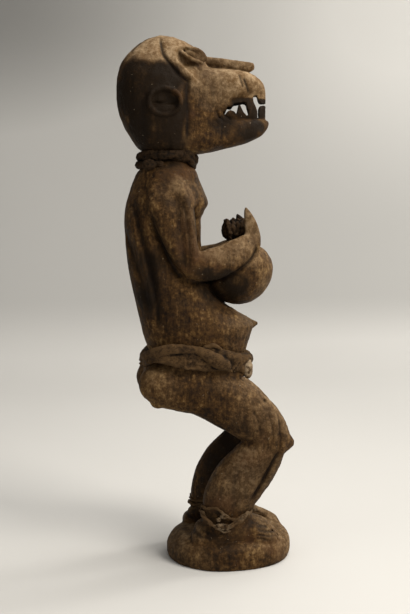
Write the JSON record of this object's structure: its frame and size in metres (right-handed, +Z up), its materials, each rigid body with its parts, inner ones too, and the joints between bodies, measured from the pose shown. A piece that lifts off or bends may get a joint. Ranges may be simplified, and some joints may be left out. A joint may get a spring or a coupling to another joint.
{
  "type": "carved monkey figure",
  "caption": "Carved wooden baule monkey figure that stands on bent legs on a low mound and holds a round bowl, with tied cords and a twisted cloth girdle.",
  "frame": {"origin": "on the flat underside of the base mound, below the middle of the figure", "axes": "+Z up, +X the way the figure faces, +Y to the figure's left"},
  "size_m": [0.2175, 0.136, 0.6509],
  "materials": {
    "figure_wood": "old dark wood, hand-worn to a low sheen on the head and forearms, with greasy dark patches and pale dust",
    "neck_cord_fibre": "matte, stiff with dirt",
    "waist_cloth_fabric": "matte, stiff with dirt, frayed at the edges",
    "ankle_cord_fibre": "matte, dusty",
    "bundle_crust": "matte, thickly encrusted"
  },
  "bodies": {
    "root": {"figure": "figure_wood", "neck_cord": "neck_cord_fibre", "waist_cloth": "waist_cloth_fabric", "right_ankle_cord": "ankle_cord_fibre", "left_ankle_cord": "ankle_cord_fibre", "bowl_bundle": "bundle_crust"}
  },
  "joints": []
}
